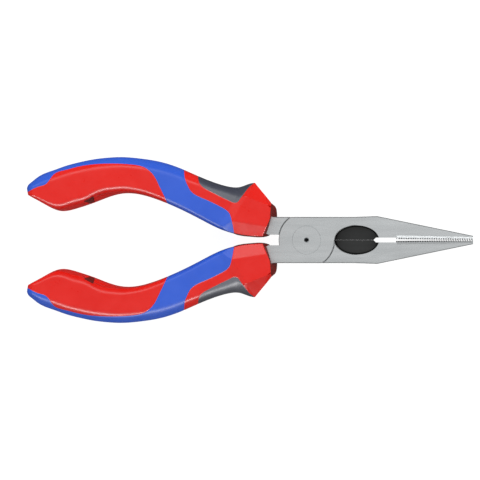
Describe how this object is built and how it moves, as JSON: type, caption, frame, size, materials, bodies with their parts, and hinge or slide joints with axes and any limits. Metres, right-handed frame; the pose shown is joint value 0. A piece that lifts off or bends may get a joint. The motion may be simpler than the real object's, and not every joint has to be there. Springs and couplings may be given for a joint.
{
  "type": "needle nose pliers",
  "caption": "Long half-round needle nose pliers with toothed jaws, side cutters in an oval recess, a riveted lap joint and red, blue and grey moulded grips.",
  "frame": {"origin": "on the surface the pliers lie on, under the middle of their length and width", "axes": "+X along the closed pliers towards the jaw tips, +Z along the rivet from the back of the joint to its front, +Y towards the upper jaw"},
  "size_m": [0.16, 0.0596, 0.018],
  "materials": {
    "tool_steel": "satin ground forged steel",
    "rivet_steel": "ground flush with the joint",
    "core_plastic": "dark red moulded",
    "red_plastic": "bright red, fine grain",
    "blue_plastic": "blue, fine grain",
    "grey_rubber": "soft dark grey"
  },
  "bodies": {
    "back_lever": {"back_half": "tool_steel", "upper_core_sleeve": "core_plastic", "upper_rear_panel": "red_plastic", "upper_guard": "red_plastic", "upper_cover": "blue_plastic", "upper_thumb_pad": "grey_rubber"},
    "front_lever": {"front_half": "tool_steel", "rivet": "rivet_steel", "lower_core_sleeve": "core_plastic", "lower_rear_panel": "red_plastic", "lower_guard": "red_plastic", "lower_cover": "blue_plastic", "lower_thumb_pad": "grey_rubber"}
  },
  "joints": [
    {"name": "rivet_hinge", "type": "hinge", "parent": "back_lever", "child": "front_lever", "pos_m": [0.02025, 0, 0.009], "axis": [0, 0, 1], "range_deg": [0, 50]}
  ]
}
